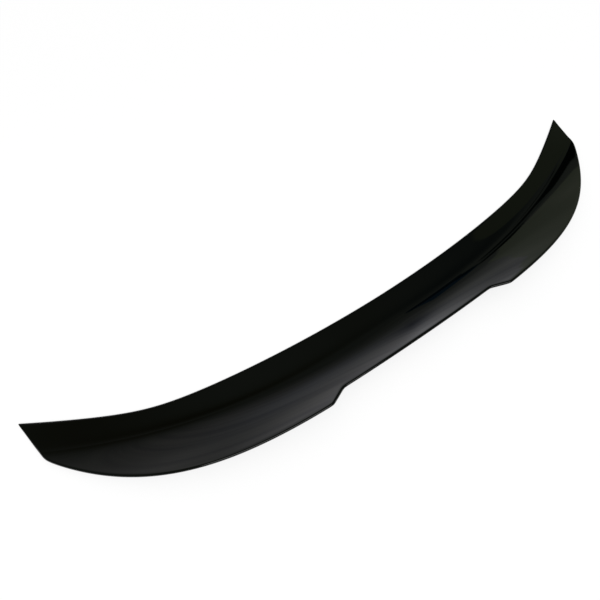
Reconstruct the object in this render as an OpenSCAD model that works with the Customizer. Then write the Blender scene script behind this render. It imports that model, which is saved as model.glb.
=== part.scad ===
// Rear spoiler for a boot lid: one gloss black moulding, open underneath.
// The tips point forward (+Y), the kicked-up trailing edge is at -Y, and the seat is z = 0.
// Every section is cut square to the span, so each outline is a function of x.

/* [Plan] */
// Width from tip to tip
span = 1200; // [1000:5:1400]
// How far the middle of the front edge bows back
front_bow = 66; // [40:1:90]
// Extra sweep of the front edge towards the tips, in degrees
front_sweep = 20; // [10:0.5:28]
// Distance from the middle at which that sweep begins
front_bend_x = 430; // [350:5:480]
// Length over which that sweep comes in
front_bend_len = 66; // [20:1:120]
// How far the trailing edge would lie behind the tips at the middle, without its notch
rear_reach = 247; // [220:1:290]
// How much of that reach the gentle bow of the trailing edge takes up
rear_bow = 36; // [15:1:60]
// How much of that reach the ends wrap forward
rear_wrap = 157; // [120:1:165]
// How late the ends wrap forward: 2 is an even curve, 6 a sharp one
rear_wrap_power = 4.65; // [3:0.05:6]
// Slope of the short end edges, in degrees from the span
end_angle = 78.5; // [70:0.5:84]
// Length of the blunt tip
tip_len = 3; // [2:0.5:8]
// Softness of the outer corners
corner_soft = 12; // [2:0.5:20]

/* [Notch] */
// Depth of the notch in the trailing edge, measured forward
notch_depth = 14.5; // [5:0.5:25]
// Width of the notch along its floor
notch_floor = 316; // [150:2:400]
// Length of each sloping side of the notch, along the span
notch_side = 30; // [15:1:60]
// Softness of the notch's corners
notch_soft = 3; // [1:0.5:8]

/* [Section] */
// Thickness at the front edge
front_t = 2.5; // [2:0.1:5]
// Height at which the front panel reaches the fold
fold_h = 5; // [4.5:0.25:12]
// How far the fold lies behind the tips at the middle
fold_mid = 182; // [165:1:200]
// How far the fold lies behind the tips at the ends
fold_end = 51; // [40:1:70]
// How late the fold curves forward
fold_power = 2.5; // [2:0.05:3.5]
// Softness of the fold
fold_soft = 13; // [3:0.5:20]
// Angle of the kicked-up panel at the middle
kick_mid = 39.5; // [20:0.5:50]
// Angle of the kicked-up panel at the ends
kick_end = 10.5; // [5:0.5:20]
// How late the kick fades towards the ends
kick_power = 1.33; // [1:0.01:3]
// How much the kicked-up panel curls: 0 is flat, 0.5 steepens it from half its slope
kick_curl = 0.33; // [0:0.01:0.5]
// Radius of the rounded trailing edge
edge_r = 2.8; // [1.5:0.1:4]
// Undercut of the rear wall, in degrees from upright
wall_lean = 32; // [10:1:45]

/* [Underside] */
// Thickness of the skin
skin_t = 3; // [2:0.1:4.5]
// Width of the bonding land along the front edge
front_land = 14; // [8:1:25]
// Width of the bonding land at the foot of the rear wall
foot_land = 6; // [4:0.5:12]
// Solid length at each end
end_land = 45; // [30:1:90]
// Distance between the cross ribs
rib_pitch = 66; // [40:2:100]
// Thickness of a rib at its root
rib_t = 2.4; // [1.5:0.1:4]
// Thickness of a rib at its free edge
rib_tip_t = 1.8; // [1:0.1:3]
// Clearance of the ribs above the seat
rib_gap = 1.5; // [0.5:0.1:3]

/* [Hidden] */
half = span / 2;
notch_in = notch_floor / 2;
notch_out = notch_in + notch_side;
pocket_half = half - end_land;
// Stations along the span: plain, close together at the notch's side, then closing up to the tip
plain_n = 9;
side_n = 12;
end_n = 26;
side_margin = notch_soft + 5;
side_from = notch_in - side_margin;
side_to = notch_out + side_margin;
turn_from = asin(side_to / half);
half_stations = concat(
    [for (i = [1:plain_n]) side_from * i / plain_n],
    [for (i = [1:side_n]) side_from + (side_to - side_from) * i / side_n],
    [for (i = [1:end_n]) half * sin(turn_from + (90 - turn_from) * i / end_n)]
);
stations = concat(
    [for (i = [len(half_stations) - 1:-1:0]) -half_stations[i]],
    [0],
    half_stations
);
pocket_n = 60;
pocket_stations = [for (i = [0:pocket_n]) pocket_half * (2 * i / pocket_n - 1)];
rib_count = floor((pocket_half - rib_t) / rib_pitch);
// Points across a section
top_n = 12;
nose_n = 8;
inner_n = 8;
below = 1;

// A ramp that is 0 before d = 0 and rises as d after it, blended over the given length
function ramp(d, soft) = (d + sqrt(d * d + soft * soft)) / 2;
// The larger of two values, blended over the given length
function soft_max(a, b, soft) = b + ramp(a - b, soft);
function mix(a, b, t) = a + (b - a) * t;

// Outlines in plan, measured from the line between the tips
function front_line(x) =
    front_bow * (pow(x / half, 2) - 1)
    + tan(front_sweep) * (ramp(abs(x) - front_bend_x, front_bend_len)
                          - ramp(half - front_bend_x, front_bend_len));
function notch(x) =
    let (t = (notch_out - abs(x)) / notch_side, soft = notch_soft / notch_side)
    notch_depth * (ramp(t, soft) - ramp(t - 1, soft));
function swept_line(x) =
    -rear_reach + rear_bow * pow(x / half, 2)
    + rear_wrap * pow(abs(x) / half, rear_wrap_power);
function rear_line(x) =
    soft_max(
        swept_line(x) + notch(x),
        -tip_len - (half - abs(x)) * tan(end_angle),
        corner_soft);
function fold_line(x) =
    -mix(fold_mid, fold_end, pow(abs(x) / half, fold_power));
// The part's own middle, so that its box is centred on the origin
y_mid = min([for (x = stations) rear_line(x)]) / 2;

// How much longer a step square to an outline is when it is measured along Y
step_d = 0.5;
function front_stretch(x) = norm([1, (front_line(x + step_d) - front_line(x - step_d)) / (2 * step_d)]);
function rear_stretch(x) = norm([1, (rear_line(x + step_d) - rear_line(x - step_d)) / (2 * step_d)]);
function fold_turn(x) = atan((fold_line(x + step_d) - fold_line(x - step_d)) / (2 * step_d));

// Height of the top surface
function kick(x) = mix(tan(kick_mid), tan(kick_end), pow(abs(x) / half, kick_power));
function rise(x, y) =
    let (reach = max(front_line(x) - fold_line(x), 1))
    max(0, min(1, (front_line(x) - y) / reach));
function curl(x, out) =
    1 - kick_curl * (1 - out / ramp(fold_line(x) - swept_line(x), fold_soft));
function top_z(x, y) =
    let (out = ramp(fold_line(x) - y, fold_soft))
    mix(front_t, fold_h, rise(x, y)) + kick(x) * out * curl(x, out);
function top_tilt(x, y) = atan((top_z(x, y - step_d) - top_z(x, y + step_d)) / (2 * step_d));

// The rounded trailing edge at a station: [middle y, middle z, radius, stretch along Y, tilt]
function nose(x) =
    let (
        depth = front_line(x) - rear_line(x),
        h = top_z(x, rear_line(x)),
        r = min(edge_r, 0.45 * h),
        stretch = min(rear_stretch(x), 0.4 * depth / r),
        y = rear_line(x) + r * stretch,
        tilt = atan(tan(top_tilt(x, y)) * stretch)
    )
    [y, top_z(x, y) - r / cos(tilt), r, stretch, tilt];
function nose_point(n, turn) = [n[0] - n[2] * n[3] * sin(turn), n[1] + n[2] * cos(turn)];
function foot_y(n) =
    let (p = nose_point(n, 90 + wall_lean))
    p[0] + p[1] * tan(wall_lean) * n[3];

// One section of the outer form, from the front edge's underside over the top to the foot
function body_section(x) =
    let (
        n = nose(x),
        depth = front_line(x) - rear_line(x),
        inset = min(front_t / 2 * front_stretch(x), 0.25 * depth),
        y_front = front_line(x) - inset,
        y_rear = nose_point(n, -n[4])[0],
        fold_at = max(0.3, min(0.7, (y_front - fold_line(x)) / (y_front - y_rear)))
    )
    concat(
        [[x, front_line(x) - inset / 2, 0], [x, front_line(x), front_t / 2]],
        [for (i = [0:top_n - 1])
            let (
                t = 2 * i / top_n,
                s = t < 1 ? fold_at * (1 - pow(1 - t, 1.4)) : mix(fold_at, 1, pow(t - 1, 1.2)),
                y = mix(y_front, y_rear, s)
            )
            [x, y, top_z(x, y)]],
        [for (i = [0:nose_n])
            let (p = nose_point(n, mix(-n[4], 90 + wall_lean, i / nose_n)))
            [x, p[0], p[1]]],
        [[x, foot_y(n), 0]]
    );

// One section of the hollow under the skin, open at the bottom
function hollow_section(x) =
    let (
        n = nose(x),
        y_front = front_line(x) - front_land * front_stretch(x),
        y_rear = n[0] + skin_t * n[3],
        y_foot = foot_y(n) + foot_land * n[3]
    )
    concat(
        [[x, y_front, -below]],
        [for (i = [0:inner_n])
            let (y = mix(y_front, y_rear, i / inner_n))
            [x, y, max(top_z(x, y) - skin_t / cos(top_tilt(x, y)), -below / 2)]],
        [[x, y_foot, 0], [x, y_foot, -below]]
    );

// Joins equal sections into one closed solid
module loft(sections) {
    n = len(sections[0]);
    last = len(sections) - 1;
    points = [for (s = sections, p = s) p - [0, y_mid, 0]];
    sides = [
        for (i = [0:last - 1], j = [0:n - 1])
            let (k = (j + 1) % n)
            each [
                [i * n + j, (i + 1) * n + k, i * n + k],
                [i * n + j, (i + 1) * n + j, (i + 1) * n + k]
            ]
    ];
    caps = [[for (j = [0:n - 1]) j], [for (j = [n - 1:-1:0]) last * n + j]];
    polyhedron(points, concat(sides, caps), convexity = 6);
}

// A rib that crosses the hollow square to the fold, thicker at its root
module cross_rib(x) {
    reach = rear_reach;
    translate([x, fold_line(x) - y_mid, 0])
        rotate(fold_turn(x))
            hull() {
                translate([-rib_tip_t / 2, -reach / 2, rib_gap]) cube([rib_tip_t, reach, 0.1]);
                translate([-rib_t / 2, -reach / 2, reach / 3]) cube([rib_t, reach, 0.1]);
            }
}

// The long rib under the fold, which stands on the seat
module fold_rib() {
    for (i = [0:pocket_n - 1])
        hull() {
            rib_post(pocket_stations[i]);
            rib_post(pocket_stations[i + 1]);
        }
}

module rib_post(x) {
    translate([x, fold_line(x) - y_mid, 0]) cylinder(d = rib_t, h = fold_h + fold_soft, $fn = 8);
}

module spoiler() {
    color([0.03, 0.03, 0.03])
        difference() {
            loft([for (x = stations) body_section(x)]);
            difference() {
                loft([for (x = pocket_stations) hollow_section(x)]);
                for (i = [-rib_count:rib_count]) cross_rib(i * rib_pitch);
                fold_rib();
            }
        }
}

spoiler();
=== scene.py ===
# %% [markdown]
# # A boot-lid spoiler in gloss black
# The real object is one plastic moulding, painted gloss black outside and left raw underneath.
# Its skin follows a rule: every section square to the span has the same parts, and only their
# sizes change from the middle to the tips. It could be pulled into shape by hand, but each new
# size would mean doing it again. So Geometry Nodes make it from formulas, with the sizes as
# named inputs, and a shader node group gives the paint and the raw plastic their grain.

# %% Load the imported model
import math
import bpy
from mathutils import Matrix, Vector


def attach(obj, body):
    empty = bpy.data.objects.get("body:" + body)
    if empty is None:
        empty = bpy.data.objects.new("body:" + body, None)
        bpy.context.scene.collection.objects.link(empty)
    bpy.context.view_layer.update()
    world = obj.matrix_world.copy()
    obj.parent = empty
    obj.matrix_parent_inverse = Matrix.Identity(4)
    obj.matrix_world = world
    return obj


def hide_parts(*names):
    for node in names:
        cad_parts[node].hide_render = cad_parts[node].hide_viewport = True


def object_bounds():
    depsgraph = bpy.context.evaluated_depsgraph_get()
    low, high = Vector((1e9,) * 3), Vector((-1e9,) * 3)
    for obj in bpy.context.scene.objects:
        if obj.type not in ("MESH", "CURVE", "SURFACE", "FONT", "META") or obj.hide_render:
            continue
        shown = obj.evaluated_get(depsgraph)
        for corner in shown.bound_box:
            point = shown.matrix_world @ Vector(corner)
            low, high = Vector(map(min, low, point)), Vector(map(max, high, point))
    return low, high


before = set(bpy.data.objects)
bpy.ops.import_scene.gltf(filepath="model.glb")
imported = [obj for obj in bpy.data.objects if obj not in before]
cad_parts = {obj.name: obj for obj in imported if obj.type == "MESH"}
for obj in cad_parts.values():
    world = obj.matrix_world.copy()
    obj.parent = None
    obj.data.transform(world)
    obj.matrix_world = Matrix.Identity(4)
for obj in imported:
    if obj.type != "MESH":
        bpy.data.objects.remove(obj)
cad_box = [list(corner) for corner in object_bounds()]
print("CAD box in metres:", cad_box)

# %% [markdown]
# ## The camera
# The photograph looks down on the spoiler from behind and to its left, through a wide lens held
# a little askew. A camera is easiest to read as a place, two angles and a roll, so those are the
# values, and the matrix is worked out from them.

# %% Place the camera
MM = 0.001
SENSOR_WIDTH = 36
LENS_PIXELS = 400
PICTURE_PIXELS = 600
camera_place = Vector((-0.30038, -0.14095, 0.65583))
camera_azimuth = math.radians(-40.799)
camera_elevation = math.radians(67.825)
camera_roll = math.radians(7.865)


def view_axes(azimuth, elevation, roll):
    """The camera's right, up and backward directions."""
    back = Vector((
        math.sin(azimuth) * math.cos(elevation),
        -math.cos(azimuth) * math.cos(elevation),
        math.sin(elevation),
    ))
    level = Vector((math.cos(azimuth), math.sin(azimuth), 0))
    upright = back.cross(level)
    right = level * math.cos(roll) + upright * math.sin(roll)
    return right, back.cross(right), back


camera_data = bpy.data.cameras.new("camera")
camera_data.sensor_width = SENSOR_WIDTH
camera_data.lens = SENSOR_WIDTH * LENS_PIXELS / PICTURE_PIXELS
camera = bpy.data.objects.new("camera", camera_data)
bpy.context.scene.collection.objects.link(camera)
axes = Matrix(view_axes(camera_azimuth, camera_elevation, camera_roll)).transposed()
camera.matrix_world = Matrix.Translation(camera_place) @ axes.to_4x4()
bpy.context.scene.camera = camera
print("lens %.1f mm" % camera_data.lens)

# %% [markdown]
# ## Arithmetic in a node tree
# A formula in Geometry Nodes is a chain of Math nodes. Wiring each by hand hides the formula, so
# a small class wraps a socket and turns Python's own signs into Math nodes. The formulas below
# then read as they would on paper.

# %% Let a socket be added and multiplied


class Field:
    """A number that the tree works out at every point."""

    def __init__(self, socket):
        self.socket = socket

    def __add__(self, other):
        return calc("ADD", self, other)

    def __radd__(self, other):
        return calc("ADD", other, self)

    def __sub__(self, other):
        return calc("SUBTRACT", self, other)

    def __rsub__(self, other):
        return calc("SUBTRACT", other, self)

    def __mul__(self, other):
        return calc("MULTIPLY", self, other)

    def __rmul__(self, other):
        return calc("MULTIPLY", other, self)

    def __truediv__(self, other):
        return calc("DIVIDE", self, other)

    def __rtruediv__(self, other):
        return calc("DIVIDE", other, self)

    def __pow__(self, other):
        return calc("POWER", self, other)

    def __neg__(self):
        return calc("MULTIPLY", self, -1)

    def __abs__(self):
        return calc("ABSOLUTE", self)


def feed(tree, value, socket):
    """Links a Field to a socket, or writes a plain value into it."""
    if isinstance(value, Field):
        tree.links.new(value.socket, socket)
    else:
        socket.default_value = value


def calc(operation, *values):
    """One Math node with these values on its inputs."""
    tree = next(value.socket.id_data for value in values if isinstance(value, Field))
    node = tree.nodes.new("ShaderNodeMath")
    node.operation = operation
    for socket, value in zip(node.inputs, values):
        feed(tree, value, socket)
    return Field(node.outputs[0])


print("a Field takes the signs + - * / ** and abs()")

# %% [markdown]
# Sines, ramps and mixes are what the outlines are made of, so they get short names. A ramp is 0
# on one side of a corner and rises on the other, and its softness rounds the corner.

# %% Name the usual functions


def sine(value):
    return calc("SINE", value)


def cosine(value):
    return calc("COSINE", value)


def tangent(value):
    return calc("TANGENT", value)


def root(value):
    return calc("SQRT", value)


def least(a, b):
    return calc("MINIMUM", a, b)


def greatest(a, b):
    return calc("MAXIMUM", a, b)


def clamp(value, low, high):
    return greatest(least(value, high), low)


def mix(a, b, share):
    return a + (b - a) * share


def ramp(distance, soft):
    return (distance + root(distance * distance + soft * soft)) / 2


print("functions: sine, cosine, tangent, root, least, greatest, clamp, mix and ramp")

# %% [markdown]
# ## The sizes
# These are the driving sizes of the CAD model again, in metres and radians. Two belong to this
# script alone, because they are finer than the CAD's facets: the front rounding and the tip
# rounding. A tree gets one input under each name, so a size can be changed on the tree without
# touching a formula.

# %% List the sizes
sizes = {
    "Half span": 600 * MM,
    "Tips": cad_box[1][1],
    "Front bow": 66 * MM,
    "Front sweep": math.radians(20),
    "Front bend place": 430 * MM,
    "Front bend length": 66 * MM,
    "Rear reach": 247 * MM,
    "Rear bow": 36 * MM,
    "Rear wrap": 157 * MM,
    "Rear wrap power": 4.65,
    "End angle": math.radians(78.5),
    "Tip length": 3 * MM,
    "Corner softness": 12 * MM,
    "Notch depth": 14.5 * MM,
    "Notch half floor": 158 * MM,
    "Notch side": 30 * MM,
    "Notch softness": 3 * MM,
    "Front thickness": 2.5 * MM,
    "Front rounding": 3 * MM,
    "Fold height": 5 * MM,
    "Fold at middle": 182 * MM,
    "Fold at ends": 51 * MM,
    "Fold power": 2.5,
    "Fold softness": 13 * MM,
    "Kick at middle": math.radians(39.5),
    "Kick at ends": math.radians(10.5),
    "Kick power": 1.33,
    "Kick curl": 0.33,
    "Edge radius": 2.8 * MM,
    "Wall lean": math.radians(32),
    "Skin": 3 * MM,
    "Front land": 14 * MM,
    "Foot land": 6 * MM,
    "End land": 45 * MM,
    "Tip rounding": 1.2 * MM,
    "Rib pitch": 66 * MM,
    "Rib root": 2.4 * MM,
    "Rib tip": 1.8 * MM,
    "Rib gap": 1.5 * MM,
}
print(len(sizes), "sizes")

# %% [markdown]
# ## The form as formulas
# x runs along the span. The front edge, the fold and the trailing edge are each a curve y(x),
# measured from the line between the tips. The skin and the ribs are both built from these three
# lines, so they always meet.

# %% Write the outlines
STEP = 0.5 * MM


def share_out(s, x):
    """How far out x lies: 0 at the middle, 1 at a tip."""
    return abs(x) / s["Half span"]


def front_line(s, x):
    bow = s["Front bow"] * (share_out(s, x) ** 2 - 1)
    here = ramp(abs(x) - s["Front bend place"], s["Front bend length"])
    at_tip = ramp(s["Half span"] - s["Front bend place"], s["Front bend length"])
    return bow + tangent(s["Front sweep"]) * (here - at_tip)


def fold_line(s, x):
    return -mix(s["Fold at middle"], s["Fold at ends"], share_out(s, x) ** s["Fold power"])


def notch(s, x):
    t = (s["Notch half floor"] + s["Notch side"] - abs(x)) / s["Notch side"]
    soft = s["Notch softness"] / s["Notch side"]
    return s["Notch depth"] * (ramp(t, soft) - ramp(t - 1, soft))


def swept_line(s, x):
    """The trailing edge before the notch and the short end edges are cut."""
    out = share_out(s, x)
    wrap = s["Rear wrap"] * out ** s["Rear wrap power"]
    return s["Rear bow"] * out ** 2 + wrap - s["Rear reach"]


def rear_line(s, x):
    swept = swept_line(s, x) + notch(s, x)
    end_edge = -s["Tip length"] - (s["Half span"] - abs(x)) * tangent(s["End angle"])
    return end_edge + ramp(swept - end_edge, s["Corner softness"])


def slope(line, s, x):
    return (line(s, x + STEP) - line(s, x - STEP)) / (2 * STEP)


def stretch(line, s, x):
    """How much longer a step square to a line is when it is measured along Y."""
    rise = slope(line, s, x)
    return root(rise * rise + 1)


print("outlines: front edge, fold and trailing edge, with slopes taken over", 2 * STEP, "m")

# %% [markdown]
# A section holds what is fixed at one x: where its lines are, and where the rounded trailing
# edge has its middle. Its surfaces are then heights over y. Near the tips a section is thin, so
# the rounded edges may take only a share of its height and depth.

# %% Describe one section
EDGE_HEIGHT_SHARE = 0.45
EDGE_DEPTH_SHARE = 0.4
FRONT_DEPTH_SHARE = 0.25


class Section:
    """The section at x, as Fields."""

    def __init__(self, s, x):
        self.s = s
        self.front = front_line(s, x)
        self.fold = fold_line(s, x)
        self.front_stretch = stretch(front_line, s, x)
        share = share_out(s, x) ** s["Kick power"]
        self.kick = mix(tangent(s["Kick at middle"]), tangent(s["Kick at ends"]), share)
        self.kick_reach = ramp(self.fold - swept_line(s, x), s["Fold softness"])
        rear = rear_line(s, x)
        depth = self.front - rear
        self.r = least(s["Edge radius"], self.top(rear) * EDGE_HEIGHT_SHARE)
        self.stretch = least(stretch(rear_line, s, x), depth * EDGE_DEPTH_SHARE / self.r)
        self.nose_y = rear + self.r * self.stretch
        self.tilt = calc("ARCTANGENT", self.fall(self.nose_y) * self.stretch)
        self.nose_z = self.top(self.nose_y) - self.r / cosine(self.tilt)
        inset = s["Front rounding"] * self.front_stretch
        self.front_inset = least(inset, depth * FRONT_DEPTH_SHARE)

    def top(self, y):
        s = self.s
        rise = clamp((self.front - y) / greatest(self.front - self.fold, MM), 0, 1)
        flat = mix(s["Front thickness"], s["Fold height"], rise)
        out = ramp(self.fold - y, s["Fold softness"])
        return flat + self.kick * out * (1 - s["Kick curl"] * (1 - out / self.kick_reach))

    def fall(self, y):
        return (self.top(y - STEP) - self.top(y + STEP)) / (2 * STEP)

    def roof(self, y):
        """The underside of the skin."""
        fall = self.fall(y)
        return self.top(y) - self.s["Skin"] * root(fall * fall + 1)

    def nose(self, turn):
        """A point of the rounded trailing edge: turn 0 is its crest."""
        y = self.nose_y - self.r * self.stretch * sine(turn)
        return y, self.nose_z + self.r * cosine(turn)

    def nose_end(self):
        return self.nose(self.s["Wall lean"] + math.pi / 2)

    def foot(self):
        """Where the rear wall meets the seat."""
        y, z = self.nose_end()
        return y + z * tangent(self.s["Wall lean"]) * self.stretch


print("a section has a top, a roof, a rounded trailing edge and a foot")

# %% [markdown]
# ## The skin
# Each strip of the skin is a grid that starts as a unit square. Its first coordinate picks the
# station along the span and its second one the place within the strip. Neighbouring strips
# share their edges, so joining them and merging by distance gives one closed surface.

# %% Start a tree


def new_tree(name):
    """A tree with one input for each size, and those inputs as Fields."""
    tree = bpy.data.node_groups.new(name, "GeometryNodeTree")
    for size in sizes:
        tree.interface.new_socket(name=size, in_out="INPUT", socket_type="NodeSocketFloat")
    for finish in ("Outside", "Inside"):
        tree.interface.new_socket(name=finish, in_out="INPUT", socket_type="NodeSocketMaterial")
    tree.interface.new_socket(name="Mesh", in_out="OUTPUT", socket_type="NodeSocketGeometry")
    group = tree.nodes.new("NodeGroupInput")
    return tree, group, {size: Field(group.outputs[size]) for size in sizes}


def position(tree):
    """The place of a point, as three Fields."""
    split = tree.nodes.new("ShaderNodeSeparateXYZ")
    tree.links.new(tree.nodes.new("GeometryNodeInputPosition").outputs[0], split.inputs[0])
    return [Field(output) for output in split.outputs]


print("each tree gets", len(sizes), "sizes and 2 finishes as inputs")

# %% Move, join and paint a mesh


def vector(tree, *parts):
    """A vector from up to three numbers or Fields. What is left out is 0."""
    node = tree.nodes.new("ShaderNodeCombineXYZ")
    for socket, value in zip(node.inputs, parts):
        feed(tree, value, socket)
    return node.outputs[0]


def moved(tree, mesh, x, y, z):
    """Puts each point of a mesh at x, y, z."""
    node = tree.nodes.new("GeometryNodeSetPosition")
    tree.links.new(mesh, node.inputs["Geometry"])
    tree.links.new(vector(tree, x, y, z), node.inputs["Position"])
    return node.outputs["Geometry"]


def joined(tree, parts):
    node = tree.nodes.new("GeometryNodeJoinGeometry")
    for part in reversed(parts):
        tree.links.new(part, node.inputs[0])
    return node.outputs[0]


def painted(tree, mesh, material):
    node = tree.nodes.new("GeometryNodeSetMaterial")
    tree.links.new(mesh, node.inputs["Geometry"])
    tree.links.new(material, node.inputs["Material"])
    return node.outputs[0]


print("mesh helpers: moved, joined and painted")

# %% [markdown]
# The outer strips are the front edge, the top, the trailing edge and the rear wall. The top
# bends most at the fold, so its rows crowd towards the fold from both sides.

# %% Lay the outer strips
FOLD_SHARE_LEAST, FOLD_SHARE_MOST = 0.3, 0.7
CROWD_BEFORE_FOLD, CROWD_AFTER_FOLD = 1.3, 1.2
rows = {
    "front_edge": 9, "top": 56, "trailing_edge": 13, "rear_wall": 4,
    "foot": 3, "inner_wall": 4, "roof": 26, "hollow_front": 2, "front_land": 3,
}


def top_place(at, y_front, y_rear, v):
    """y on the top surface, for v from 0 at its front to 1 at its rear."""
    fold_at = (y_front - at.fold) / (y_front - y_rear)
    fold_at = clamp(fold_at, FOLD_SHARE_LEAST, FOLD_SHARE_MOST)
    before = 1 - (1 - clamp(v * 2, 0, 1)) ** CROWD_BEFORE_FOLD
    after = clamp(v * 2 - 1, 0, 1) ** CROWD_AFTER_FOLD
    return mix(y_front, y_rear, before * fold_at + after * (1 - fold_at))


def outer_strips(at, v):
    """The painted strips as name: (y, z)."""
    y_front = at.front - at.front_inset
    y_rear, z_rear = at.nose(-at.tilt)
    y_top = top_place(at, y_front, y_rear, v)
    edge_r = at.top(y_front) / 2
    end_y, end_z = at.nose_end()
    return {
        "front_edge": (y_front + at.front_inset * sine(v * math.pi),
                       edge_r - edge_r * cosine(v * math.pi)),
        "top": (y_top, at.top(y_top) + (z_rear - at.top(y_rear)) * v * v),
        "trailing_edge": at.nose(mix(-at.tilt, at.s["Wall lean"] + math.pi / 2, v)),
        "rear_wall": (mix(end_y, at.foot(), v), end_z * (1 - v)),
    }


print(sum(rows.values()), "rows in", len(rows), "strips")

# %% [markdown]
# The inner strips go on from the foot through the hollow to the front land. Over the solid ends
# the hollow has no height, so its roof lies on the seat, and a step less than a millimetre long
# is the hollow's end wall. Where a section is thin, a land takes at most a quarter of it.

# %% Lay the inner strips
END_WALL = 0.8 * MM
LAND_PARTS = 4


def inner_strips(at, x, v):
    """The raw strips as name: (y, z)."""
    s = at.s
    y_front = at.front - at.front_inset
    foot = at.foot()
    most = (y_front - foot) / LAND_PARTS
    inside = clamp((s["Half span"] - s["End land"] - abs(x)) / END_WALL + 0.5, 0, 1)
    foot_in = foot + least(s["Foot land"] * at.stretch, most)
    roof_rear = mix(foot_in, at.nose_y + s["Skin"] * at.stretch, inside)
    roof_front = at.front - least(s["Front land"] * at.front_stretch, most)
    y_roof = mix(roof_rear, roof_front, v)

    def height(y):
        return greatest(at.roof(y), 0) * inside

    return {
        "foot": (mix(foot, foot_in, v), 0),
        "inner_wall": (mix(foot_in, roof_rear, v), height(roof_rear) * v),
        "roof": (y_roof, height(y_roof)),
        "hollow_front": (roof_front, height(roof_front) * (1 - v)),
        "front_land": (mix(roof_front, y_front, v), 0),
    }


print("end wall of the hollow:", END_WALL, "m")

# %% [markdown]
# Stations stand closer together towards the tips, where the outlines turn most. The last
# millimetre of each tip closes up like a rounded corner.

# %% Write the skin tree
STATIONS = 700
EVEN_SPREAD = 0.3
MERGE_DISTANCE = 0.005 * MM


def skin_tree():
    tree, group, s = new_tree("spoiler_skin")
    across, along, _ = position(tree)
    u, v = across * 2, along + 0.5
    x = s["Half span"] * (u * EVEN_SPREAD + sine(u * math.pi / 2) * (1 - EVEN_SPREAD))
    at = Section(s, x)
    close = clamp((abs(x) - s["Half span"]) / s["Tip rounding"] + 1, 0, 1)
    shrink = root(greatest(1 - close * close, 0))
    tip_y, tip_z = -s["Tip length"] / 2, s["Front thickness"] / 2
    parts = []
    for finish, strips in (("Outside", outer_strips(at, v)), ("Inside", inner_strips(at, x, v))):
        for name, (y, z) in strips.items():
            grid = tree.nodes.new("GeometryNodeMeshGrid")
            grid.inputs["Vertices X"].default_value = STATIONS
            grid.inputs["Vertices Y"].default_value = rows[name]
            y = mix(tip_y, y, shrink) + s["Tips"]
            z = mix(tip_z, z, shrink)
            strip = moved(tree, grid.outputs["Mesh"], x, y, z)
            parts.append(painted(tree, strip, group.outputs[finish]))
    merge = tree.nodes.new("GeometryNodeMergeByDistance")
    merge.inputs["Distance"].default_value = MERGE_DISTANCE
    tree.links.new(joined(tree, parts), merge.inputs["Geometry"])
    flip = tree.nodes.new("GeometryNodeFlipFaces")
    tree.links.new(merge.outputs[0], flip.inputs["Mesh"])
    tree.links.new(flip.outputs[0], tree.nodes.new("NodeGroupOutput").inputs[0])
    return tree


print(STATIONS, "stations along the span")

# %% [markdown]
# ## The ribs
# Under the skin a long rib follows the fold and stands on the seat, and short ribs cross it at a
# fixed pitch. The short ones are one slab, placed on a line of points. Formulas then turn each
# slab square to the fold, thin it towards its free edge, and sink its root into the skin.

# %% Place and fit the cross ribs
SLAB_ROWS = 60
SLAB_LAYERS = 4


def slabs(tree, s, pocket):
    """A plain slab for each cross rib, at a fixed pitch."""
    pitch = s["Rib pitch"]
    half_count = calc("FLOOR", (pocket - s["Rib root"]) / pitch)
    slab = tree.nodes.new("GeometryNodeMeshCube")
    slab.inputs["Vertices Y"].default_value = SLAB_ROWS
    slab.inputs["Vertices Z"].default_value = SLAB_LAYERS
    tree.links.new(vector(tree, s["Rib root"], 1, 1), slab.inputs["Size"])
    line = tree.nodes.new("GeometryNodeMeshLine")
    feed(tree, half_count * 2 + 1, line.inputs["Count"])
    tree.links.new(vector(tree, -half_count * pitch), line.inputs["Start Location"])
    tree.links.new(vector(tree, pitch), line.inputs["Offset"])
    place = tree.nodes.new("GeometryNodeInstanceOnPoints")
    tree.links.new(line.outputs[0], place.inputs["Points"])
    tree.links.new(slab.outputs["Mesh"], place.inputs["Instance"])
    real = tree.nodes.new("GeometryNodeRealizeInstances")
    tree.links.new(place.outputs[0], real.inputs[0])
    return real.outputs[0]


def cross_ribs(tree, s, pocket):
    px, py, pz = position(tree)
    high = pz + 0.5
    pitch = s["Rib pitch"]
    middle_x = calc("ROUND", px / pitch) * pitch
    side = (px - middle_x) * mix(s["Rib tip"], s["Rib root"], high) / s["Rib root"]
    along = py * s["Rear reach"]
    turn = slope(fold_line, s, middle_x)
    length = root(turn * turn + 1)
    x = middle_x + (side - along * turn) / length
    at = Section(s, x)
    wall = mix(at.foot() + s["Foot land"] * at.stretch / 2,
               at.nose_y + s["Skin"] * at.stretch / 2, high)
    y = fold_line(s, middle_x) + (side * turn + along) / length
    y = clamp(y, wall, at.front - s["Front land"] * at.front_stretch)
    root_z = greatest(at.roof(y), 0) + s["Skin"] / 2
    z = mix(least(s["Rib gap"], root_z), root_z, high)
    return moved(tree, slabs(tree, s, pocket), x, y + s["Tips"], z)


print("a cross rib has", SLAB_ROWS, "rows and", SLAB_LAYERS, "layers")

# %% [markdown]
# The long rib is a bar as long as the hollow. Its points slide onto the fold line, and its root
# rises into the skin. Both kinds of rib then make one mesh.

# %% Fit the long rib and write the rib tree
BAR_STATIONS = 320
BAR_LAYERS = 3


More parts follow.
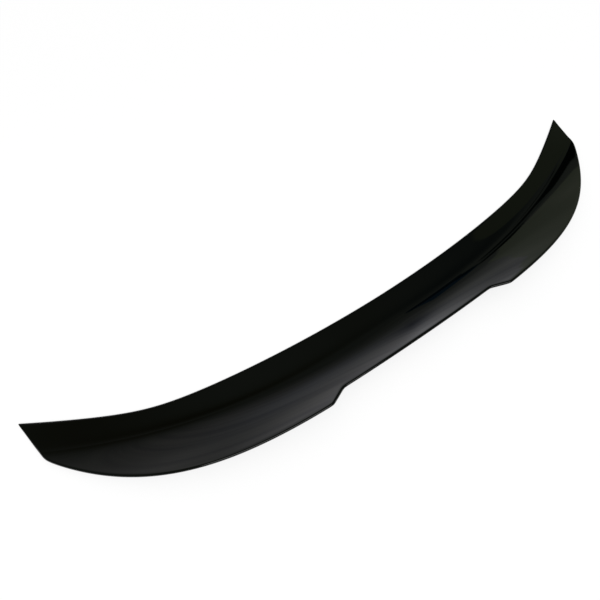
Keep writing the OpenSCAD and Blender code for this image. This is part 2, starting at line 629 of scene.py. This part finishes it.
def long_rib(tree, s, pocket):
    px, py, pz = position(tree)
    x = px * 2 * pocket
    at = Section(s, x)
    y = at.fold + py * s["Rib root"] * stretch(fold_line, s, x)
    z = (pz + 0.5) * (at.roof(y) + s["Skin"] / 2)
    bar = tree.nodes.new("GeometryNodeMeshCube")
    bar.inputs["Size"].default_value = (1, 1, 1)
    bar.inputs["Vertices X"].default_value = BAR_STATIONS
    bar.inputs["Vertices Z"].default_value = BAR_LAYERS
    return moved(tree, bar.outputs["Mesh"], x, y + s["Tips"], z)


def rib_tree():
    tree, group, s = new_tree("spoiler_ribs")
    pocket = s["Half span"] - s["End land"]
    both = joined(tree, [cross_ribs(tree, s, pocket), long_rib(tree, s, pocket)])
    ribs = painted(tree, both, group.outputs["Inside"])
    tree.links.new(ribs, tree.nodes.new("NodeGroupOutput").inputs[0])
    return tree


print("the long rib has", BAR_STATIONS, "stations")

# %% [markdown]
# ## Grain that more than one finish uses
# Sprayed paint dries with a faint orange peel, and a moulded surface copies the fine texture of
# its mould. Both are small random bumps at a known size, so one shader group makes them. It puts
# out a height for a Bump node and a slow mask for dust and wear.

# %% Build the grain group
PATCH_START = 0.35
PATCH_CONTRAST = 3.3


def add_noise(tree, place, size, detail):
    """A noise whose lumps are this many metres across."""
    node = tree.nodes.new("ShaderNodeTexNoise")
    node.inputs["Detail"].default_value = detail
    tree.links.new(place, node.inputs["Vector"])
    feed(tree, 1 / Field(size), node.inputs["Scale"])
    return Field(node.outputs[0])


def grain_group():
    group = bpy.data.node_groups.new("surface_grain", "ShaderNodeTree")
    for name, kind, value in (
            ("Place", "NodeSocketVector", (0, 0, 0)),
            ("Lump size", "NodeSocketFloat", 3 * MM),
            ("Speck size", "NodeSocketFloat", 0.4 * MM),
            ("Speck share", "NodeSocketFloat", 0.2),
            ("Patch size", "NodeSocketFloat", 90 * MM)):
        item = group.interface.new_socket(name=name, in_out="INPUT", socket_type=kind)
        item.default_value = value
    for name in ("Height", "Patches"):
        group.interface.new_socket(name=name, in_out="OUTPUT", socket_type="NodeSocketFloat")
    given = group.nodes.new("NodeGroupInput")
    result = group.nodes.new("NodeGroupOutput")
    place, lump, speck, share, patch = given.outputs[:5]
    lumps = add_noise(group, place, lump, detail=1)
    specks = add_noise(group, place, speck, detail=2)
    feed(group, mix(lumps, specks, Field(share)), result.inputs["Height"])
    slow = add_noise(group, place, patch, detail=4)
    feed(group, clamp((slow - PATCH_START) * PATCH_CONTRAST, 0, 1), result.inputs["Patches"])
    return group


grain = grain_group()
print("grain group:", len(grain.nodes), "nodes")

# %% [markdown]
# ## The two finishes
# The paint is a black so deep that almost all it shows is reflection, so its base is nearly
# black and its gloss does the work. Raw ABS underneath is a dark grey that scatters light. Each
# material reads Object coordinates, which are metres here, so lump sizes are real sizes.

# %% Make the materials


def feed_color(tree, color, socket):
    """Links a Field to a color socket, or writes a plain color into it."""
    feed(tree, color if isinstance(color, Field) else (*color, 1), socket)


def new_finish(name, grain_values, color, rough, bump, ior):
    """A material with grain: color and rough are a pair of values, smooth and dusty."""
    material = bpy.data.materials.new(name)
    material.use_nodes = True
    tree = material.node_tree
    surface = tree.nodes["Principled BSDF"]
    coordinates = tree.nodes.new("ShaderNodeTexCoord")
    group = tree.nodes.new("ShaderNodeGroup")
    group.node_tree = grain
    for socket, value in grain_values.items():
        group.inputs[socket].default_value = value
    tree.links.new(coordinates.outputs["Object"], group.inputs["Place"])
    patches = Field(group.outputs["Patches"])
    shade = tree.nodes.new("ShaderNodeMix")
    shade.data_type = "RGBA"
    feed(tree, patches, shade.inputs["Factor"])
    feed_color(tree, color[0], shade.inputs["A"])
    feed_color(tree, color[1], shade.inputs["B"])
    tree.links.new(shade.outputs["Result"], surface.inputs["Base Color"])
    feed(tree, mix(rough[0], rough[1], patches), surface.inputs["Roughness"])
    relief = tree.nodes.new("ShaderNodeBump")
    relief.inputs["Strength"].default_value = 1
    relief.inputs["Distance"].default_value = bump
    tree.links.new(group.outputs["Height"], relief.inputs["Height"])
    tree.links.new(relief.outputs["Normal"], surface.inputs["Normal"])
    surface.inputs["IOR"].default_value = ior
    return material


gloss_paint = new_finish(
    "gloss_black_paint",
    {"Lump size": 5 * MM, "Speck size": 1.2 * MM, "Speck share": 0.12, "Patch size": 120 * MM},
    color=((0.0002, 0.0002, 0.0002), (0.0004, 0.0004, 0.0004)),
    rough=(0.005, 0.016), bump=0.006 * MM, ior=1.5)

raw_plastic = new_finish(
    "raw_black_plastic",
    {"Lump size": 1.2 * MM, "Speck size": 0.35 * MM, "Speck share": 0.6, "Patch size": 60 * MM},
    color=((0.017, 0.017, 0.018), (0.026, 0.026, 0.026)),
    rough=(0.42, 0.58), bump=0.05 * MM, ior=1.54)
print("finishes:", gloss_paint.name, raw_plastic.name)

# %% [markdown]
# ## Making the two pieces
# A tree runs as a modifier on an empty mesh, and its result is kept as a plain mesh, so that
# nothing is left to work out later. The skin stands for the CAD solid, and the ribs ride with
# it. Both are smooth where the surface runs on and sharp where two faces meet at an angle, such
# as at the foot of the wall.

# %% Run a tree


def built(tree, name, outside, inside):
    """Runs a tree on an empty mesh and keeps the result as an object."""
    carrier = bpy.data.objects.new(name + "_tree", bpy.data.meshes.new(name + "_tree"))
    bpy.context.scene.collection.objects.link(carrier)
    modifier = carrier.modifiers.new("form", "NODES")
    modifier.node_group = tree
    values = dict(sizes, Outside=outside, Inside=inside)
    for item in tree.interface.items_tree:
        if item.in_out == "INPUT":
            modifier[item.identifier] = values[item.name]
    view = bpy.context.evaluated_depsgraph_get()
    view.update()
    mesh = bpy.data.meshes.new_from_object(carrier.evaluated_get(view), depsgraph=view)
    bpy.data.objects.remove(carrier)
    mesh.name = name
    # The empty mesh leaves an empty first slot in the result
    if mesh.materials[0] is None:
        mesh.materials.pop(index=0)
    piece = bpy.data.objects.new(name, mesh)
    bpy.context.scene.collection.objects.link(piece)
    mesh.calc_loop_triangles()
    print(name, len(mesh.loop_triangles), "triangles,", [m.name for m in mesh.materials])
    return piece


print("a tree runs with", len(sizes), "sizes")

# %% Build the skin and the ribs
SHARP_ANGLE = math.radians(32)
skin = built(skin_tree(), "spoiler_skin", gloss_paint, raw_plastic)
ribs = built(rib_tree(), "spoiler_ribs", gloss_paint, raw_plastic)
for piece in (skin, ribs):
    piece.data.shade_smooth()
    piece.data.set_sharp_from_angle(angle=SHARP_ANGLE)
    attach(piece, "root")
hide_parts("spoiler")
print("the skin replaces the CAD solid, and the ribs ride with it")

# %% [markdown]
# ## The floor
# The photograph's ground is plain white, without an edge or a horizon. A single square does for
# it, so wide that its far edge melts into the white behind it.

# %% Lay the floor
FLOOR_HALF = 6
corners = [(-1, -1), (1, -1), (1, 1), (-1, 1)]
floor_mesh = bpy.data.meshes.new("floor")
floor_mesh.from_pydata(
    [(x * FLOOR_HALF, y * FLOOR_HALF, 0) for x, y in corners], [], [(0, 1, 2, 3)])
floor = bpy.data.objects.new("floor", floor_mesh)
bpy.context.scene.collection.objects.link(floor)
print("floor", 2 * FLOOR_HALF, "m square")

# %% [markdown]
# A white floor under soft light is a shade below white. So for the rays that draw the picture
# the floor is mostly a plain white of strength 1, and the rest is real shading, which keeps the
# spoiler's shadow.

# %% Paint the floor
FLOOR_WHITE = 0.97
FLOOR_ROUGHNESS = 0.9
FLOOR_GLOW = 0.75


def ray_mask(tree, *kinds):
    """1 for rays of these kinds, else 0."""
    path = tree.nodes.new("ShaderNodeLightPath")
    total = Field(path.outputs[kinds[0]])
    for kind in kinds[1:]:
        total = total + Field(path.outputs[kind])
    return clamp(total, 0, 1)


floor_white = bpy.data.materials.new("floor_white")
floor_white.use_nodes = True
paint = floor_white.node_tree
surface = paint.nodes["Principled BSDF"]
surface.inputs["Base Color"].default_value = (FLOOR_WHITE, FLOOR_WHITE, FLOOR_WHITE, 1)
surface.inputs["Roughness"].default_value = FLOOR_ROUGHNESS
surface.inputs["Specular IOR Level"].default_value = 0
glow = paint.nodes.new("ShaderNodeEmission")
glow.inputs["Strength"].default_value = 1
blend = paint.nodes.new("ShaderNodeMixShader")
drawing = ray_mask(paint, "Is Camera Ray", "Is Glossy Ray", "Is Transmission Ray")
feed(paint, drawing * FLOOR_GLOW, blend.inputs[0])
paint.links.new(surface.outputs[0], blend.inputs[1])
paint.links.new(glow.outputs[0], blend.inputs[2])
paint.links.new(blend.outputs[0], paint.nodes["Material Output"].inputs["Surface"])
floor_mesh.materials.append(floor_white)
print("floor: %d %% plain white" % (100 * FLOOR_GLOW))

# %% [markdown]
# ## The room
# Gloss black shows the room more than itself. In the photograph the flat front panel looks up
# into a dark, slightly green ceiling, and the kicked-up panel looks at pale walls and a bright
# horizon. A dark blue window with a black frame draws the lines along the fold. Lamps could not
# draw such shapes, so the room is painted on the world by direction. Directions are given by
# azimuth from +Y towards +X and by elevation, in degrees. Glows are soft ovals of light, or of
# shade where the color is negative.

# %% Describe the glows
CEILING = (0.113, 0.132, 0.105)
HORIZON = (1.66, 1.63, 1.73)
HORIZON_FADE = 7.9
# name: azimuth, elevation, half-width, half-height, slant, color
glows = {
    "low_wall": (5.3, 9.6, 22, 11.5, -0.4, (0.75, 0.73, 0.73)),
    "lit_curtain": (12.2, 23.6, 9.4, 8.6, -0.73, (0.34, 0.35, 0.41)),
    "curtain_top": (-2, 40.7, 18, 9.2, -0.37, (0.23, 0.217, 0.222)),
    "curtain_edge": (-3.8, 31.5, 5.9, 5.4, -0.79, (0.31, 0.30, 0.305)),
    "sill_light": (28.5, 6, 9.8, 6.3, 1.1, (0.34, 0.35, 0.34)),
    "dark_drape": (26.7, 9.2, 3.9, 7.4, -0.15, (-0.476, -0.465, -0.42)),
    "ceiling_shade": (-10, 61, 53, 6.4, 0.02, (-0.066, -0.083, -0.081)),
    "curtain_hem": (38.9, 15, 1.3, 10, -0.02, (0.08, 0.08, 0.08)),
    "wall_light": (48.2, 28.5, 1.6, 4.5, 1.2, (0.18, 0.17, 0.15)),
    "corner_light": (69, 45.6, 0.8, 2.4, 0, (0.06, 0.06, 0.05)),
    "tip_light": (70.4, 36.4, 1.2, 1.3, 0, (0.14, 0.155, 0.11)),
    "corner_shade": (59.6, 49.3, 19.7, 8.9, -0.38, (-0.071, -0.074, -0.054)),
}
print(len(glows), "glows:", ", ".join(glows))

# %% [markdown]
# Patches are flat shapes with corners, such as a wall or a window. Each has a strength, a soft
# edge so many degrees wide, and a waviness, because no surface mirrors a straight line quite
# straight.

# %% Describe the patches
# name: color, strength, edge softness, waviness, corners anticlockwise
patches = {
    "green_wall": ((0.36, 0.42, 0.275), 0.5, 0.25, 3.5,
                   [(40.7, -60), (110, -60), (110, 36), (49.9, 34.6), (47.3, 34.1),
                    (44.2, 32.5), (41.9, 30.3), (38.8, 25.5)]),
    "green_corner": ((0.105, 0.128, 0.079), 0.9, 0.3, 0.6,
                     [(64.4, 38.2), (66, 36.2), (74, 34), (74, 52), (68.6, 49.5)]),
    "window_rail": ((0.08, 0.10, 0.085), 1, 0.3, 0,
                    [(43.5, 35), (51, 35.8), (54.8, 36.6), (53, 38.2), (47, 38.4)]),
    "window": ((0.022, 0.058, 0.092), 1, 0.35, 0.3,
               [(33.9, 28.3), (42.3, 33.2), (45.6, 40.4), (35.6, 41.2)]),
    "window_top": ((0.001, 0.014, 0.026), 1, 0.4, 0.3,
                   [(35.3, 38.4), (45, 37.6), (46, 40.7), (35.4, 41.3)]),
    "window_side": ((0.001, 0.014, 0.022), 1, 0.4, 0,
                    [(41, 33.4), (43.4, 34.6), (45, 38), (42, 38)]),
    "window_sill": ((0, 0.004, 0.003), 1, 0.25, 0,
                    [(41.9, 30.9), (45.5, 33.2), (51.8, 34.8), (51.6, 36.2), (47.5, 35.8),
                     (42.4, 34.1)]),
    "beam": ((0.006, 0.012, 0.010), 1, 0.25, 0,
             [(47.6, 37.6), (52.5, 38), (61.5, 38), (61.8, 39.1), (57, 40.2), (48.2, 40.2)]),
    "beam_end": ((0.004, 0.008, 0.006), 1, 0.2, 0,
                 [(53.2, 36.1), (57.5, 36.8), (64, 37.3), (61.8, 39.4), (54.6, 39)]),
}
print(len(patches), "patches:", ", ".join(patches))

# %% [markdown]
# On the world, Generated coordinates are the direction of the ray. Azimuth and elevation come
# from them, and each glow or patch is a mask worked out from these two angles.

# %% Make masks from directions
world = bpy.data.worlds.new("studio")
bpy.context.scene.world = world
world.use_nodes = True
sky = world.node_tree
split = sky.nodes.new("ShaderNodeSeparateXYZ")
sky.links.new(sky.nodes.new("ShaderNodeTexCoord").outputs["Generated"], split.inputs[0])
east, north, up = [Field(output) for output in split.outputs]
azimuth = calc("DEGREES", calc("ARCTAN2", east, north))
elevation = calc("DEGREES", calc("ARCSINE", clamp(up, -1, 1)))


def wave(across, width, height, detail):
    """A noise over the sky, from -0.5 to 0.5, with lumps this many degrees across."""
    node = sky.nodes.new("ShaderNodeTexNoise")
    node.inputs["Scale"].default_value = 1
    node.inputs["Detail"].default_value = detail
    sky.links.new(vector(sky, across / width, elevation / height), node.inputs["Vector"])
    return Field(node.outputs[0]) - 0.5


def soft_step(value, edge):
    """1 where the value is above the edge, 0 where it is as far below zero."""
    node = sky.nodes.new("ShaderNodeMapRange")
    node.interpolation_type = "SMOOTHSTEP"
    feed(sky, value, node.inputs["Value"])
    node.inputs["From Min"].default_value = -edge
    node.inputs["From Max"].default_value = edge
    return Field(node.outputs["Result"])


def oval(a, e, width, height, slant):
    """A soft oval: 1 in its middle and fading all round."""
    across = (azimuth - a) / width
    above = (elevation - e - (azimuth - a) * slant) / height
    return calc("EXPONENT", -(across * across + above * above))


def shape(corners, edge, waviness):
    """1 inside a shape with corners, taken anticlockwise."""
    a = azimuth + ripple * waviness
    mask = 1
    for (a1, e1), (a2, e2) in zip(corners, corners[1:] + corners[:1]):
        length = math.hypot(a2 - a1, e2 - e1)
        inward = (elevation - e1) * ((a2 - a1) / length) - (a - a1) * ((e2 - e1) / length)
        mask = soft_step(inward, edge) * mask
    return mask


ripple = wave(azimuth, width=9, height=6, detail=3)
print("masks: wave, soft_step, oval and shape")

# %% [markdown]
# The room is painted in layers: the ceiling, the bright horizon ahead, the glows, streaks and
# the patches. The streaks are folds of the curtains, drawn out along the kicked-up panel by its
# curve. They fade out below the ceiling, and past the curtains they run level.

# %% Paint the room
AHEAD_RISE, AHEAD_SHARE, BEHIND_SHARE = 1.5, 0.5, 0.25
DARKEST = (0.004, 0.004, 0.004)
STREAK_COLOR = (0.45, 0.46, 0.55)
STREAK_STRENGTH = 0.45
STREAK_SHARE, STREAK_CONTRAST = 0.4, 4
STREAK_SLANT, CURTAIN_END = 1.8, 26
STREAK_TOP, STREAK_FADE = 52, 8


def tint(below, mask, color, way):
    """Lays a color over what is below it, where the mask is 1."""
    node = sky.nodes.new("ShaderNodeMix")
    node.data_type = "RGBA"
    node.blend_type = way
    feed(sky, mask, node.inputs["Factor"])
    feed_color(sky, below, node.inputs["A"])
    feed_color(sky, color, node.inputs["B"])
    return Field(node.outputs["Result"])


ahead = clamp(north * AHEAD_RISE + AHEAD_SHARE, BEHIND_SHARE, 1)
fade = calc("EXPONENT", -greatest(elevation, 0) / HORIZON_FADE) * ahead
room = tint(CEILING, fade, HORIZON, "ADD")
for *place, color in glows.values():
    way = "ADD" if color[0] > 0 else "SUBTRACT"
    room = tint(room, oval(*place), [abs(value) for value in color], way)
room = tint(room, 1, DARKEST, "LIGHTEN")
along = elevation + least(azimuth, CURTAIN_END) * STREAK_SLANT
streaks = STREAK_SHARE + wave(along, width=3.2, height=40, detail=5) * STREAK_CONTRAST
streaks = clamp(streaks, 0, 1) * soft_step(STREAK_TOP - elevation, STREAK_FADE)
room = tint(room, streaks * STREAK_STRENGTH, STREAK_COLOR, "MULTIPLY")
for color, strength, edge, waviness, corners in patches.values():
    room = tint(room, shape(corners, edge, waviness) * strength, color, "MIX")
print("the sky has", len(sky.nodes), "nodes")

# %% [markdown]
# The camera sees plain white past the floor, and reflections see the room. The light that falls
# on the floor and the spoiler is an even white. Each of these is a Background of its own under
# Mix Shaders, so a ray works out only the one that it sees.

# %% Choose what each kind of ray sees
SKY_LIGHT = (0.92, 0.92, 0.92)
WHITE = (1, 1, 1)


def background(color):
    node = sky.nodes.new("ShaderNodeBackground")
    feed_color(sky, color, node.inputs["Color"])
    return node.outputs[0]


def choose(mask, no, yes):
    node = sky.nodes.new("ShaderNodeMixShader")
    feed(sky, mask, node.inputs[0])
    sky.links.new(no, node.inputs[1])
    sky.links.new(yes, node.inputs[2])
    return node.outputs[0]


mirrored = ray_mask(sky, "Is Glossy Ray", "Is Transmission Ray")
lit = choose(mirrored, background(SKY_LIGHT), background(room))
drawn = choose(ray_mask(sky, "Is Camera Ray"), lit, background(WHITE))
sky.links.new(drawn, sky.nodes["World Output"].inputs["Surface"])
bpy.context.scene.view_settings.view_transform = "Standard"
print("even light", SKY_LIGHT, "and a view in", bpy.context.scene.view_settings.view_transform)

# %% [markdown]
# ## The lamp
# An even sky gives hardly any shadow. One large soft lamp behind the camera deepens the shadow
# on the floor, from a place that no panel mirrors.

# %% Hang the lamp
LAMP_WIDTH, LAMP_HEIGHT = 2.4, 1.4
LAMP_WATTS = 18
LAMP_AZIMUTH, LAMP_ELEVATION = 200, 52
LAMP_DISTANCE = 2.6


def direction(azimuth, elevation):
    a, e = math.radians(azimuth), math.radians(elevation)
    return Vector((math.sin(a) * math.cos(e), math.cos(a) * math.cos(e), math.sin(e)))


lamp_data = bpy.data.lights.new("soft_lamp", "AREA")
lamp_data.shape = "RECTANGLE"
lamp_data.size = LAMP_WIDTH
lamp_data.size_y = LAMP_HEIGHT
lamp_data.energy = LAMP_WATTS
lamp = bpy.data.objects.new("soft_lamp", lamp_data)
bpy.context.scene.collection.objects.link(lamp)
lamp_place = direction(LAMP_AZIMUTH, LAMP_ELEVATION) * LAMP_DISTANCE
lamp_turn = lamp_place.to_track_quat("Z", "Y").to_matrix().to_4x4()
lamp.matrix_world = Matrix.Translation(lamp_place) @ lamp_turn
print("lamp at", [round(value, 2) for value in lamp_place])
